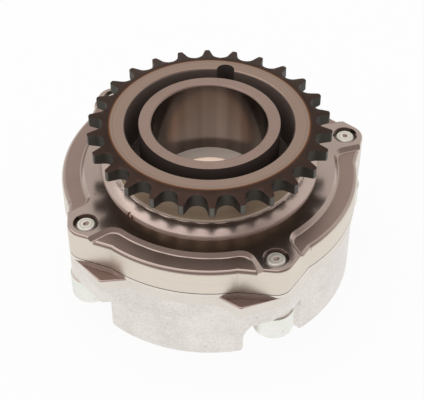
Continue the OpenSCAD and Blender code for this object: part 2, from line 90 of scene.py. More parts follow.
# Tabs of the plate at the bolts: half widths at the start and the end of each lowered arc, and the round
# corners between tab and arc
WIDE_TAB = 7.7
NARROW_TAB = 6.6
ARC_TABS = (
    (WIDE_TAB, WIDE_TAB),
    (NARROW_TAB, WIDE_TAB),
    (NARROW_TAB, NARROW_TAB),
    (WIDE_TAB, NARROW_TAB),
)
TAB_CORNER_R = 3.0

# Slope that rises from each lowered arc: angle in degrees, fillet at its foot and distance from the wall
LIP_SLOPE = 48
LIP_FILLET = 0.7
LIP_CLEARANCE = 0.1

# Cutter for the slopes: reach past the plate, above it and into the arcs' floor, and the steps of its curves
FAR_R = 60.0
LIP_OVERCUT = 0.3
FLOOR_SKIM = 0.002
CORNER_STEPS = 10
ARC_STEPS = 48
OUTER_STEPS = 8
FILLET_STEPS = 6

# Broken and rounded edges: widths in millimetres, and steps across them
EDGE_WIDTH = 0.12
BOLT_EDGE_WIDTH = 0.1
EDGE_STEPS = 2
TOOTH_TIP_WIDTH = 0.45
GUSSET_RIM_WIDTH = 0.5
ROUND_STEPS = 3

# Bends in degrees: least at an edge, least at a tooth tip, most in a flat face and most in a smooth one
EDGE_BEND = 40
TOOTH_TIP_BEND = 30
FLAT_BEND = 0.05
SMOOTH_BEND = 32
COIL_SMOOTH_BEND = 50

# Edges by their length: those across a tooth tip and the sides of the gussets
TOOTH_TIP_LENGTH = 2
GUSSET_SIDE_LENGTH = 7

# Nose of a gusset, which stays sharp: half angle at the bolt in degrees, and share of the gusset's side
NOSE_ANGLE = 3.5
RIM_START = 0.3

# Distances that count as none when points are merged, compared or found on a level
MERGE_DISTANCE = 0.002
SAME_POINT = 0.001
LEVEL_PLAY = 0.03

# Turning marks on the sprocket piece and the rotor, by their fineness, and the depths of marks and of grain
SPROCKET_FINENESS = 5.0
ROTOR_FINENESS = 7.0
TURNED_DEPTH = 0.02
GRAIN_DEPTH = 0.05

# Camera of the photograph, in metres, in pixels of its 424 x 400 frame and, for the sensor, in millimetres
CAMERA_PLACE = Vector((0.0673, -0.2592, 0.2752))
CAMERA_BACK = Vector((0.1804, -0.7024, 0.6885))
FOCAL_PIXELS = 1220.1
FRAME_WIDTH = 424
SENSOR_WIDTH = 36.0
CLIP_START = 0.01

# Floor in metres, and the share of plain white that the camera sees on it
FLOOR_SIZE = 6.0
FLOOR_GLOW = 0.93

# Lamp above the part, in metres and watts
LAMP_PLACE = Vector((-0.2, -0.05, 0.7))
LAMP_AIM = Vector((0, 0, 0.03))
LAMP_SIZE = 0.8
LAMP_POWER = 1.3
LAMP_COLOUR = (1.0, 0.96, 0.94)

# Side of the studio that is left dark, as a level direction
DARK_SIDE = (0.2488, -0.9686, 0.0)

# Colours are red, green and blue. Pairs are the dark and the light end of a varied tone
WHITE = (1.0, 1.0, 1.0)
ROOM_TONES = {
    "back": (0.75, 0.7, 0.66),
    "dark": (0.34, 0.28, 0.26),
    "horizon": (0.95, 0.92, 0.88),
    "soft": (0.75, 0.75, 0.75),
    "cloth": (0.9, 0.9, 0.9),
}
SEAM_SHADE = (0.1, 0.075, 0.06)
SPROCKET_TONES = {
    "side": ((0.69, 0.62, 0.53), (0.78, 0.71, 0.62)),
    # The top and lowered tones of the upward faces are darker and browner than the side tone, partly the
    # steel's own warm colour and partly painted reflection of the dim room above.
    "top": ((0.45, 0.375, 0.34), (0.55, 0.465, 0.43)),
    "collar": ((0.56, 0.465, 0.425), (0.69, 0.585, 0.54)),
    "lowered": ((0.3, 0.225, 0.196), (0.39, 0.3, 0.27)),
    "neck": ((0.4, 0.34, 0.25), (0.5, 0.43, 0.33)),
    "flank": ((0.042, 0.039, 0.033), (0.095, 0.088, 0.077)),
    "ring_face": ((0.34, 0.255, 0.21), (0.44, 0.34, 0.29)),
    "tooth_band": ((0.04, 0.024, 0.019), (0.08, 0.052, 0.043)),
}
SPROCKET_SHADES = {
    "tooth_tip": (0.15, 0.142, 0.127),
    "underside": (0.13, 0.105, 0.095),
    "heat_tint": (0.3, 0.12, 0.04),
    "step": (0.14, 0.09, 0.07),
    "mouth": (0.19, 0.14, 0.12),
    "notch": (0.1, 0.08, 0.07),
    # The bolt_sink tone is painted shade: the dark gap round each bolt's end.
    "bolt_sink": (0.13, 0.095, 0.085),
    "rust": (0.16, 0.05, 0.02),
}
HOUSING_TONES = {
    "cast": ((0.68, 0.63, 0.59), (0.88, 0.84, 0.795)),
    "turned": ((0.7, 0.64, 0.58), (0.82, 0.77, 0.71)),
    # The shelf tone is painted reflection: the gussets' upward shelves are painted darker than the casting.
    "shelf": ((0.31, 0.23, 0.21), (0.42, 0.325, 0.3)),
}
HOUSING_SHADES = {
    "streak": (0.5, 0.45, 0.42),
    "speck": (0.36, 0.3, 0.26),
    # The rim tone is a painted highlight: a pinkish tint on the gussets' rounded rims.
    "rim": (0.64, 0.52, 0.485),
}
ROTOR_TONES = {
    "wall": ((0.12, 0.098, 0.087), (0.25, 0.212, 0.192)),
    "face": ((0.33, 0.245, 0.21), (0.43, 0.325, 0.285)),
}
ROTOR_SHADES = {
    "outer": (0.09, 0.066, 0.058),
    # The seat tone is partly a lighter matte finish and partly painted light on the seat deep in the bore
    # and painted reflection on the through hole's wall.
    "seat": (0.95, 0.81, 0.71),
}
ZINC_TONES = ((0.84, 0.86, 0.78), (0.9, 0.865, 0.84))
ZINC_SHADES = {
    "thread": (0.4, 0.4, 0.3),
    # The dimple tone is painted shade over the centre dimple of each bolt's end.
    "dimple": (0.33, 0.23, 0.2),
    "speck": (0.3, 0.28, 0.22),
}

# Finishes of the pieces that sit inside: dark and light tone, metal share and least roughness
INNER_FINISHES = {
    "seal_strip": ((0.05, 0.048, 0.045), (0.11, 0.1, 0.095), 0.0, 0.45),
    "spring_steel": ((0.5, 0.48, 0.44), (0.68, 0.66, 0.62), 1.0, 0.2),
    "lock_steel": ((0.42, 0.4, 0.37), (0.6, 0.57, 0.54), 1.0, 0.22),
}

# Rust flecks on the sprocket piece: place and reach in millimetres
RUST_FLECKS = [
    ((-16.1, -26.9, 36.2), 1.4),
    ((-14.9, -27.7, 36.2), 1.1),
    ((-17.4, -26.2, 36.2), 0.9),
    ((-28.2, -21.6, 36.1), 0.9),
    ((-26.9, -22.0, 36.1), 0.6),
    ((12.16, 26.36, 51.5), 0.7),
]


def polar(distance, bearing):
    """Point in plan at a distance from the camshaft axis, with its bearing in radians."""
    return Vector((distance * math.cos(bearing), distance * math.sin(bearing)))


# Small helpers that place and join shader nodes


def put(tree, kind, inputs=None, **settings):
    """Adds a node. Inputs map a socket's name or number to a value or to another node's output."""
    node = tree.nodes.new("ShaderNode" + kind)
    for name, value in settings.items():
        setattr(node, name, value)
    for key, value in (inputs or {}).items():
        if isinstance(value, bpy.types.NodeSocket):
            tree.links.new(value, node.inputs[key])
        else:
            node.inputs[key].default_value = value
    return node


def calc(tree, operation, *terms):
    """Output of a Math node."""
    return put(tree, "Math", dict(enumerate(terms)), operation=operation).outputs[0]


def inverse(tree, mask):
    """1 where the mask is 0, and 0 where it is 1."""
    return calc(tree, "SUBTRACT", 1.0, mask)


def part_of(tree, mask, share):
    """Share of a mask."""
    return calc(tree, "MULTIPLY", mask, share)


def both(tree, *masks):
    """Product of several masks."""
    result = masks[0]
    for mask in masks[1:]:
        result = calc(tree, "MULTIPLY", result, mask)
    return result


def raised(tree, value, shares):
    """Value plus a share of each mask."""
    for mask, share in shares:
        value = calc(tree, "ADD", value, part_of(tree, mask, share))
    return value


def fade(tree, value, start, end):
    """0 before start and 1 after end, smooth between."""
    node = put(tree, "MapRange", {"Value": value, "From Min": start, "From Max": end},
               interpolation_type="SMOOTHSTEP")
    return node.outputs[0]


def fall(tree, value, start, end):
    """1 before start and 0 after end, smooth between."""
    return inverse(tree, fade(tree, value, start, end))


def near(tree, value, centre, width):
    """1 at centre, falling smoothly to 0 at width from it."""
    distance = calc(tree, "ABSOLUTE", calc(tree, "SUBTRACT", value, centre))
    return fall(tree, distance, 0.0, width)


def between(tree, value, low, high, soft):
    """1 from low to high, with soft ends."""
    return both(tree, fade(tree, value, low - soft, low + soft), fall(tree, value, high - soft, high + soft))


def opaque(colour):
    """Colour as a socket takes it, with full alpha."""
    return (*colour, 1.0)


def mix(tree, share, first, second):
    """Colour that goes from first to second with share. Each is a node's output or a plain colour."""
    ends = [end if isinstance(end, bpy.types.NodeSocket) else opaque(end) for end in (first, second)]
    return put(tree, "Mix", {0: share, 6: ends[0], 7: ends[1]}, data_type="RGBA").outputs[2]


def layered(tree, colour, layers):
    """Colour with others laid over it, each where its mask is 1."""
    for mask, layer in layers:
        colour = mix(tree, mask, colour, layer)
    return colour


def noise(tree, point, scale, detail, rough=0.5):
    """Cloudy pattern from 0 to 1."""
    node = put(tree, "TexNoise", {"Vector": point, "Scale": scale, "Detail": detail, "Roughness": rough})
    return node.outputs["Fac"]


def line_distance(tree, point, place):
    """Distance of a point from an upright line, whose place in plan is given, in millimetres."""
    flat = put(tree, "VectorMath", {0: point, 1: (1.0, 1.0, 0.0)}, operation="MULTIPLY").outputs[0]
    foot = (place[0] * MM, place[1] * MM, 0.0)
    distance = put(tree, "VectorMath", {0: flat, 1: foot}, operation="DISTANCE").outputs["Value"]
    return calc(tree, "MULTIPLY", distance, 1 / MM)


def around(tree, point, centre, reach):
    """1 at a centre, given in millimetres, falling to 0 at reach from it."""
    place = [value * MM for value in centre]
    distance = put(tree, "VectorMath", {0: point, 1: place}, operation="DISTANCE").outputs["Value"]
    return fall(tree, distance, 0.0, reach * MM)


def new_group(name, inputs, outputs):
    """Empty node group, with the kind of each input, and with float outputs."""
    tree = bpy.data.node_groups.new(name, "ShaderNodeTree")
    for label, kind in inputs.items():
        tree.interface.new_socket(label, in_out="INPUT", socket_type="NodeSocket" + kind)
    for label in outputs:
        tree.interface.new_socket(label, in_out="OUTPUT", socket_type="NodeSocketFloat")
    return tree, tree.nodes.new("NodeGroupInput").outputs, tree.nodes.new("NodeGroupOutput").inputs


def put_group(tree, group, inputs):
    """Outputs of a group that is placed in a material."""
    return put(tree, "Group", inputs, node_tree=group).outputs


# Effects that several finishes share


def make_place_group():
    """Radius, height and bearing of a point about the camshaft axis, in millimetres and turns."""
    tree, given, result = new_group("axis_place", {"Point": "Vector"}, ["Radius", "Height", "Bearing"])
    flat = put(tree, "SeparateXYZ", {0: given["Point"]}).outputs
    x_squared = calc(tree, "MULTIPLY", flat["X"], flat["X"])
    y_squared = calc(tree, "MULTIPLY", flat["Y"], flat["Y"])
    distance = calc(tree, "SQRT", calc(tree, "ADD", x_squared, y_squared))
    bearing = calc(tree, "ARCTAN2", flat["Y"], flat["X"])
    tree.links.new(calc(tree, "MULTIPLY", distance, 1 / MM), result["Radius"])
    tree.links.new(calc(tree, "MULTIPLY", flat["Z"], 1 / MM), result["Height"])
    tree.links.new(calc(tree, "DIVIDE", bearing, 2 * math.pi), result["Bearing"])
    return tree


def make_bolt_place_group():
    """Distance of a point from the nearest bolt's axis, in millimetres."""
    tree, given, result = new_group("bolt_place", {"Point": "Vector"}, ["Distance"])
    nearest = None
    for bearing in BOLT_BEARINGS:
        distance = line_distance(tree, given["Point"], polar(BOLT_R, math.radians(bearing)))
        nearest = distance if nearest is None else calc(tree, "MINIMUM", nearest, distance)
    tree.links.new(nearest, result["Distance"])
    return tree


def make_turned_group():
    """Fine rings left by a turning tool, as height and tone."""
    inputs = {"Radius": "Float", "Height": "Float", "Fineness": "Float"}
    tree, given, result = new_group("turned_rings", inputs, ["Relief", "Tone"])
    along = put(tree, "CombineXYZ", {"X": given["Radius"], "Y": given["Height"]}).outputs[0]
    rings = noise(tree, along, scale=given["Fineness"], detail=3.0, rough=0.7)
    coarse = noise(tree, along, scale=0.9, detail=2.0)
    tree.links.new(rings, result["Relief"])
    tree.links.new(raised(tree, part_of(tree, rings, 0.5), [(coarse, 0.5)]), result["Tone"])
    return tree


def make_cast_group():
    """Skin of a die casting: fine grain, slow mottling and slanting draw marks."""
    tree, given, result = new_group("cast_skin", {"Point": "Vector"}, ["Relief", "Tone", "Streaks"])
    fine = noise(tree, given["Point"], scale=1500.0, detail=4.0, rough=0.65)
    slow = noise(tree, given["Point"], scale=130.0, detail=5.0, rough=0.6)
    slanted = put(tree, "Mapping", {"Vector": given["Point"], "Rotation": (0.5, 0.35, 0.2),
                                    "Scale": (240.0, 240.0, 1900.0)}).outputs[0]
    draw_marks = noise(tree, slanted, scale=1.0, detail=2.0)
    tree.links.new(fine, result["Relief"])
    tree.links.new(slow, result["Tone"])
    tree.links.new(fade(tree, draw_marks, 0.62, 0.74), result["Streaks"])
    return tree


def make_wear_group():
    """Smudges and small specks from handling, and a ragged pattern for rust."""
    tree, given, result = new_group("handling_marks", {"Point": "Vector"}, ["Smudge", "Specks", "Ragged"])
    smudge = noise(tree, given["Point"], scale=85.0, detail=4.0, rough=0.55)
    speck = noise(tree, given["Point"], scale=900.0, detail=2.0)
    ragged = noise(tree, given["Point"], scale=1400.0, detail=3.0, rough=0.6)
    tree.links.new(smudge, result["Smudge"])
    tree.links.new(fade(tree, speck, 0.7, 0.76), result["Specks"])
    tree.links.new(fade(tree, ragged, 0.45, 0.58), result["Ragged"])
    return tree


axis_place = make_place_group()
bolt_place = make_bolt_place_group()
turned_rings = make_turned_group()
cast_skin = make_cast_group()
handling_marks = make_wear_group()


# Finishes of the part


def new_finish(name):
    """New material, with its tree, its shader and the coordinates of a point on the surface."""
    material = bpy.data.materials.new(name)
    material.use_nodes = True
    tree = material.node_tree
    tree.nodes.clear()
    coords = tree.nodes.new("ShaderNodeTexCoord").outputs
    shader = tree.nodes.new("ShaderNodeBsdfPrincipled")
    output = tree.nodes.new("ShaderNodeOutputMaterial")
    tree.links.new(shader.outputs[0], output.inputs["Surface"])
    return material, tree, shader, coords


def upward_part(tree, coords):
    """How far the surface faces upwards: 1 on top, 0 on an upright wall and -1 on an underside."""
    return put(tree, "SeparateXYZ", {0: coords["Normal"]}).outputs["Z"]


def bump(tree, shader, relief, strength, depth):
    """Fine relief on the surface, with its depth in millimetres."""
    node = put(tree, "Bump", {"Height": relief, "Strength": strength, "Distance": depth * MM})
    tree.links.new(node.outputs[0], shader.inputs["Normal"])


def sprocket_places(tree, point, facing, reach, height):
    """Masks of the places on the sprocket piece that look unlike the rest."""
    upward = fade(tree, facing, 0.3, 0.75)
    upright = fall(tree, calc(tree, "ABSOLUTE", facing), 0.25, 0.6)
    disc = fade(tree, height, DISC_Z - 0.3, DISC_Z - 0.1)
    outside = fade(tree, reach, RING_FACE_R - 0.1, RING_FACE_R + 0.1)
    disc_top = both(tree, disc, upward)
    bolt = put_group(tree, bolt_place, {"Point": point})["Distance"]
    notch_distance = line_distance(tree, point, NOTCH_PLACE)
    return {
        "upward": upward,
        "collar": both(tree, between(tree, height, PLATE_TOP_Z + 0.1, COLLAR_Z + 0.4, soft=0.1),
                       fade(tree, reach, NECK_R + 0.3, NECK_R + 0.8)),
        "lowered": both(tree, fade(tree, facing, 0.985, 0.997),
                        fall(tree, height, ARC_Z + 0.2, ARC_Z + 0.4),
                        fade(tree, reach, COLLAR_R, COLLAR_R + 1)),
        "neck": both(tree, between(tree, height, COLLAR_Z + 0.3, DISC_Z - 0.3, soft=0.3), upright,
                     fall(tree, reach, NECK_R + 0.5, NECK_R + 1.0)),
        "seam": fall(tree, height, SEAM_Z + 0.08, SEAM_Z + 0.2),
        "teeth": both(tree, disc, outside),
        "tooth_tip": fade(tree, reach, TOOTH_TIP_R - 0.4, TOOTH_TIP_R - 0.15),
        "underside": both(tree, disc, fall(tree, facing, -0.5, -0.3)),
        "ring_face": both(tree, disc_top, inverse(tree, outside)),
        "tooth_band": both(tree, disc_top, outside),
        "heat_tint": both(tree, near(tree, reach, RING_FACE_R + 0.1, width=0.5), disc_top),
        "step": both(tree, near(tree, reach, RING_FACE_R - 0.85, width=0.14), disc_top),
        "mouth": both(tree, fall(tree, reach, POCKET_R + 0.02, POCKET_R + 0.2),
                      fade(tree, height, PLATE_TOP_Z - 1, PLATE_TOP_Z)),
        "notch": both(tree, fall(tree, notch_distance, NOTCH_R + 0.02, NOTCH_R + 0.1),
                      fade(tree, height, NOTCH_Z - 0.5, NOTCH_Z - 0.2)),
        "bolt_sink": both(tree, fall(tree, bolt, BOLT_SINK_R, BOLT_SINK_R + 0.15),
                          fade(tree, height, ARC_Z, ARC_Z + 0.2)),
    }


def sprocket_colour(tree, point, places, rings, marks):
    """Satin steel, heat-tinted round the teeth, darker and duller at the pocket's mouth and in the notch,
    with a few rust flecks. Its upward faces carry painted reflection, and the gaps round the bolt ends carry
    painted shade.
    """
    shades = SPROCKET_SHADES
    smudged = {name: mix(tree, marks["Smudge"], *SPROCKET_TONES[name])
               for name in ("top", "collar", "lowered", "flank", "tooth_band")}
    turned = {name: mix(tree, rings["Tone"], *SPROCKET_TONES[name])
              for name in ("side", "neck", "ring_face")}
    layers = [
        # Painted reflection in part: upward faces take the darker top tone, and the lowered arcs a darker
        # one still.
        (places["upward"], smudged["top"]),
        (places["collar"], smudged["collar"]),
        (places["lowered"], smudged["lowered"]),
        (places["neck"], turned["neck"]),
        (places["seam"], SEAM_SHADE),
        (places["teeth"], mix(tree, places["tooth_tip"], smudged["flank"], shades["tooth_tip"])),
        (places["underside"], shades["underside"]),
        (places["ring_face"], turned["ring_face"]),
        (places["tooth_band"], smudged["tooth_band"]),
        (part_of(tree, places["heat_tint"], 0.5), shades["heat_tint"]),
        (part_of(tree, places["step"], 0.35), shades["step"]),
        (places["mouth"], shades["mouth"]),
        (places["notch"], shades["notch"]),
        # Painted shade in the gap round the bolt ends.
        (places["bolt_sink"], shades["bolt_sink"]),
    ]
    for centre, reach in RUST_FLECKS:
        fleck = both(tree, around(tree, point, centre, reach), marks["Ragged"])
        layers.append((fade(tree, fleck, 0.1, 0.4), shades["rust"]))
    return layered(tree, turned["side"], layers)


def make_sprocket_steel():
    material, tree, shader, coords = new_finish("sprocket_steel")
    point = coords["Object"]
    axis = put_group(tree, axis_place, {"Point": point})
    rings = put_group(tree, turned_rings, {"Radius": axis["Radius"], "Height": axis["Height"],
                                           "Fineness": SPROCKET_FINENESS})
    marks = put_group(tree, handling_marks, {"Point": point})
    places = sprocket_places(tree, point, upward_part(tree, coords), axis["Radius"], axis["Height"])
    tree.links.new(sprocket_colour(tree, point, places, rings, marks), shader.inputs["Base Color"])
    rough = raised(tree, 0.115, [
        (marks["Smudge"], 0.13),
        (inverse(tree, places["upward"]), 0.2),
        (places["teeth"], 0.12),
        (places["lowered"], 0.2),
        (places["collar"], 0.07),
        (places["mouth"], 0.3),
    ])
    tree.links.new(rough, shader.inputs["Roughness"])
    dark_and_dull = calc(tree, "MAXIMUM", places["mouth"], places["notch"])
    tree.links.new(inverse(tree, part_of(tree, dark_and_dull, 0.7)), shader.inputs["Metallic"])
    bump(tree, shader, rings["Relief"], strength=0.04, depth=TURNED_DEPTH)
    return material


def make_housing_casting():
    """Grainy casting with a turned band under the seam and smooth shelves on the gussets, which are painted
    dark as painted reflection, with a pinkish painted highlight on their rims.
    """
    material, tree, shader, coords = new_finish("housing_casting")
    point = coords["Object"]
    facing = upward_part(tree, coords)
    axis = put_group(tree, axis_place, {"Point": point})
    height = axis["Height"]
    skin = put_group(tree, cast_skin, {"Point": point})
    marks = put_group(tree, handling_marks, {"Point": point})

    band = both(tree, fade(tree, height, BAND_Z - 0.1, BAND_Z + 0.1), fall(tree, facing, 0.3, 0.7))
    gusset = fade(tree, axis["Radius"], BODY_R, BODY_R + 0.2)
    shelf = both(tree, fade(tree, facing, 0.9, 0.98), gusset,
                 between(tree, height, SHELF_Z - 0.2, SHELF_Z + 0.2, soft=0.1))
    rim = both(tree, between(tree, facing, 0.35, 0.95, soft=0.04), gusset,
               between(tree, height, SHELF_Z - 0.6, SHELF_Z + 0.1, soft=0.05))
    seam = fade(tree, height, SEAM_Z - 0.2, SEAM_Z - 0.08)
    land = fade(tree, height, SHELF_Z, SHELF_Z + 0.1)
    smooth = calc(tree, "MAXIMUM", shelf, land)

    grain = raised(tree, part_of(tree, skin["Tone"], 0.45), [(skin["Relief"], 0.55)])
    cast = mix(tree, fade(tree, grain, 0.3, 0.7), *HOUSING_TONES["cast"])
    colour = layered(tree, cast, [
        (part_of(tree, skin["Streaks"], 0.3), HOUSING_SHADES["streak"]),
        (band, mix(tree, marks["Smudge"], *HOUSING_TONES["turned"])),
        (part_of(tree, marks["Specks"], 0.45), HOUSING_SHADES["speck"]),
        # Painted reflection: the shelves take the dark shelf tone.
        (shelf, mix(tree, marks["Smudge"], *HOUSING_TONES["shelf"])),
        # Painted highlight: pinkish tint on the rounded rims.
        (rim, HOUSING_SHADES["rim"]),
        (seam, SEAM_SHADE),
    ])
    tree.links.new(colour, shader.inputs["Base Color"])
    rough = raised(tree, 0.26, [(skin["Tone"], 0.22), (smooth, -0.14)])
    tree.links.new(rough, shader.inputs["Roughness"])
    shader.inputs["Metallic"].default_value = 0.9
    relief = both(tree, skin["Relief"], inverse(tree, smooth))
    bump(tree, shader, relief, strength=0.35, depth=GRAIN_DEPTH)
    return material


def make_rotor_steel():
    """Turned steel, dark outside the hub, with the seat at the bottom of the bore and the through hole's
    wall painted near white, partly a lighter matte finish and partly painted light and painted reflection.
    """
    material, tree, shader, coords = new_finish("rotor_steel")
    point = coords["Object"]
    axis = put_group(tree, axis_place, {"Point": point})
    reach = axis["Radius"]
    rings = put_group(tree, turned_rings, {"Radius": reach, "Height": axis["Height"],
                                           "Fineness": ROTOR_FINENESS})
    marks = put_group(tree, handling_marks, {"Point": point})

    upward = fade(tree, upward_part(tree, coords), 0.5, 0.8)
    wall = inverse(tree, upward)
    outer = both(tree, fade(tree, reach, HUB_R - 0.6, HUB_R - 0.2), wall)
    bore = both(tree, between(tree, reach, THROUGH_R + 1, HUB_BORE_R + 0.2, soft=0.1), wall)
    seat = both(tree, upward, fall(tree, axis["Height"], CAM_SEAT_Z + 0.2, CAM_SEAT_Z + 0.5),
                fall(tree, reach, HUB_BORE_R, HUB_BORE_R + 0.2))
    through = fall(tree, reach, THROUGH_R + 0.2, THROUGH_R + 0.4)

    round_axis = put(tree, "CombineXYZ", {"X": axis["Bearing"]}).outputs[0]
    strokes = fade(tree, noise(tree, round_axis, scale=14.0, detail=2.0), 0.35, 0.65)
    wall_tone = raised(tree, part_of(tree, rings["Tone"], 0.4), [(strokes, 0.6)])
    colour = layered(tree, mix(tree, wall_tone, *ROTOR_TONES["wall"]), [
        (upward, mix(tree, marks["Smudge"], *ROTOR_TONES["face"])),
        (outer, ROTOR_SHADES["outer"]),
        # Painted light in part: the seat and the through hole's wall take the near-white seat tone.
        (calc(tree, "MAXIMUM", seat, through), ROTOR_SHADES["seat"]),
    ])
    tree.links.new(colour, shader.inputs["Base Color"])
    rough = raised(tree, 0.24, [(rings["Tone"], 0.16), (bore, -0.14), (seat, 0.15), (outer, 0.25)])
    tree.links.new(rough, shader.inputs["Roughness"])
    dull = calc(tree, "MAXIMUM", part_of(tree, outer, 0.7), part_of(tree, seat, 0.95))
    tree.links.new(inverse(tree, dull), shader.inputs["Metallic"])
    bump(tree, shader, rings["Relief"], strength=0.06, depth=TURNED_DEPTH)
    return material


def make_bolt_zinc():
    """Zinc plating, with the thread's start on the bolts' ends and painted shade over the centre dimple of
    each end.
    """
    material, tree, shader, coords = new_finish("bolt_zinc")
    point = coords["Object"]
    axis = put_group(tree, axis_place, {"Point": point})
    bolt = put_group(tree, bolt_place, {"Point": point})
    marks = put_group(tree, handling_marks, {"Point": point})
    sheen = noise(tree, point, scale=420.0, detail=2.0)
    end = fade(tree, axis["Height"], ARC_Z, ARC_Z + 0.2)
    wander = raised(tree, bolt["Distance"], [(sheen, 1.4)])
    thread = both(tree, end, near(tree, wander, THREAD_MARK_R, width=0.4))
    # Painted shade: a dark patch over the centre dimple, wider than the dimple itself.
    dimple = both(tree, end, fall(tree, wander, DIMPLE_R, DIMPLE_R + 0.5))
    colour = layered(tree, mix(tree, fade(tree, sheen, 0.35, 0.65), *ZINC_TONES), [
        (part_of(tree, thread, 0.6), ZINC_SHADES["thread"]),
        (part_of(tree, dimple, 0.85), ZINC_SHADES["dimple"]),
        (part_of(tree, marks["Specks"], 0.6), ZINC_SHADES["speck"]),
    ])
    tree.links.new(colour, shader.inputs["Base Color"])
    tree.links.new(raised(tree, 0.3, [(marks["Smudge"], 0.2)]), shader.inputs["Roughness"])
    shader.inputs["Metallic"].default_value = 1.0
    bump(tree, shader, sheen, strength=0.1, depth=GRAIN_DEPTH)
    return material


def make_inner_finish(name, dark, light, metallic, rough):
    """Plainer finish of the pieces that sit inside."""
    material, tree, shader, coords = new_finish(name)
    smudge = put_group(tree, handling_marks, {"Point": coords["Object"]})["Smudge"]
    tree.links.new(mix(tree, smudge, dark, light), shader.inputs["Base Color"])
    tree.links.new(raised(tree, rough, [(smudge, 0.15)]), shader.inputs["Roughness"])
    shader.inputs["Metallic"].default_value = metallic
    return material


finishes = {
    "sprocket_steel": make_sprocket_steel(),
    "housing_casting": make_housing_casting(),
    "rotor_steel": make_rotor_steel(),
    "bolt_zinc": make_bolt_zinc(),
}
for slot_name, values in INNER_FINISHES.items():
    finishes[slot_name] = make_inner_finish(slot_name, *values)

for subpart in frame["record"]["subparts"]:
    node = frame["nodes"][subpart["node"]]
    node.data.materials.clear()
    node.data.materials.append(finishes[subpart["material_slot"]])


# Machined and cast pieces with broken edges, which stand for their plain solids


def make_active(piece):
    """Selects one object alone, for the operators that follow."""
    bpy.ops.object.select_all(action="DESELECT")
    bpy.context.view_layer.objects.active = piece
    piece.select_set(True)


def merged_copy(node_name, piece_name):
    """Copy of a CAD node as one closed mesh, made the active object."""
    piece = bpy.data.objects.new(piece_name, frame["nodes"][node_name].data.copy())
    bpy.context.scene.collection.objects.link(piece)
    make_active(piece)
    bpy.ops.mesh.customdata_custom_splitnormals_clear()
    bpy.ops.object.mode_set(mode="EDIT")
    bpy.ops.mesh.select_all(action="SELECT")
    bpy.ops.mesh.remove_doubles(threshold=MERGE_DISTANCE * MM)
    bpy.ops.object.mode_set(mode="OBJECT")
    return piece


def join_flat_faces():
    """Turns the triangles of each flat face of the active object into one face."""
    bpy.ops.object.mode_set(mode="EDIT")
    bpy.ops.mesh.select_all(action="SELECT")
    bpy.ops.mesh.remove_doubles(threshold=MERGE_DISTANCE * MM)
    bpy.ops.mesh.dissolve_limited(angle_limit=math.radians(FLAT_BEND))
    bpy.ops.object.mode_set(mode="OBJECT")


def outward_edges(mesh):
    """Whether each edge is an outer corner."""
    shape = bmesh.new()
    shape.from_mesh(mesh)
    result = [edge.is_convex for edge in shape.edges]
    shape.free()
    return result


def pick_edges(piece, least_bend, wanted, outward_only=False):
    """Selects the edges that bend by more than least_bend and whose ends pass wanted, for edit mode."""
    mesh = piece.data
    bpy.ops.object.mode_set(mode="EDIT")
    bpy.ops.mesh.select_mode(type="EDGE")
    bpy.ops.mesh.select_all(action="DESELECT")
    bpy.ops.mesh.edges_select_sharp(sharpness=math.radians(least_bend))
    bpy.ops.object.mode_set(mode="OBJECT")
    places = [vertex.co / MM for vertex in mesh.vertices]
    chosen = [edge.select and wanted(*[places[i] for i in edge.vertices]) for edge in mesh.edges]
    if outward_only:
        chosen = [pick and outward for pick, outward in zip(chosen, outward_edges(mesh))]
    mesh.vertices.foreach_set("select", [False] * len(mesh.vertices))
    mesh.polygons.foreach_set("select", [False] * len(mesh.polygons))
    mesh.edges.foreach_set("select", chosen)
    bpy.ops.object.mode_set(mode="EDIT")


def bevel_edges(piece, least_bend, wanted, width, steps, outward_only=False):
    """Bevels the picked edges by width, in millimetres."""
    pick_edges(piece, least_bend, wanted, outward_only)
    bpy.ops.mesh.bevel(offset=width * MM, segments=steps, affect="EDGES", clamp_overlap=False)
    bpy.ops.object.mode_set(mode="OBJECT")


def radius(point):
    """Distance of a point from the camshaft axis."""
    return point.to_2d().length


def at_level(height, *points):
    """Whether all the points lie at a height."""
    return all(abs(point.z - height) < LEVEL_PLAY for point in points)


def every_edge(first, second):
    return True


def finish_piece(piece, node_name, body, smooth_bend=SMOOTH_BEND):
    """Shades the piece, with flat faces kept flat, and puts it in the node's place."""
    bpy.ops.object.shade_smooth_by_angle(angle=math.radians(smooth_bend))
    weighted = piece.modifiers.new("flat_faces", "WEIGHTED_NORMAL")
    weighted.keep_sharp = True
    bpy.ops.object.modifier_apply(modifier=weighted.name)
    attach(piece, body)
    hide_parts(node_name)


def corner_outline(half_width, growth):
    """Plan points from a tab's side round the corner to the lowered arc, and the bearing where they end."""
    bearing = math.asin((half_width + TAB_CORNER_R) / (ARC_R + TAB_CORNER_R))
    centre = polar(ARC_R + TAB_CORNER_R, bearing)
    first = -math.pi / 2
    turn = bearing - math.pi - first
    points = [Vector((FAR_R, half_width - growth))]
    for i in range(CORNER_STEPS + 1):
        points.append(centre + polar(TAB_CORNER_R + growth, first + turn * i / CORNER_STEPS))
    return points, bearing


def lowered_outline(bolt_bearing, span, first_tab, last_tab, growth):
    """Plan outline of a lowered arc that is grown all round. The span to the next bolt is in radians."""
    start, first = corner_outline(first_tab, growth)
    end, last = corner_outline(last_tab, growth)
    arc = span - first - last
    points = list(start)
    for i in range(1, ARC_STEPS):
        points.append(polar(ARC_R - growth, first + arc * i / ARC_STEPS))
    for point in reversed(end):
        mirrored = Vector((point.x, -point.y))
        mirrored.rotate(Matrix.Rotation(span, 2))
        points.append(mirrored)
    for i in range(1, OUTER_STEPS):
        points.append(polar(FAR_R, span - last - arc * i / OUTER_STEPS))
    for point in points:
        point.rotate(Matrix.Rotation(math.radians(bolt_bearing), 2))
    return points


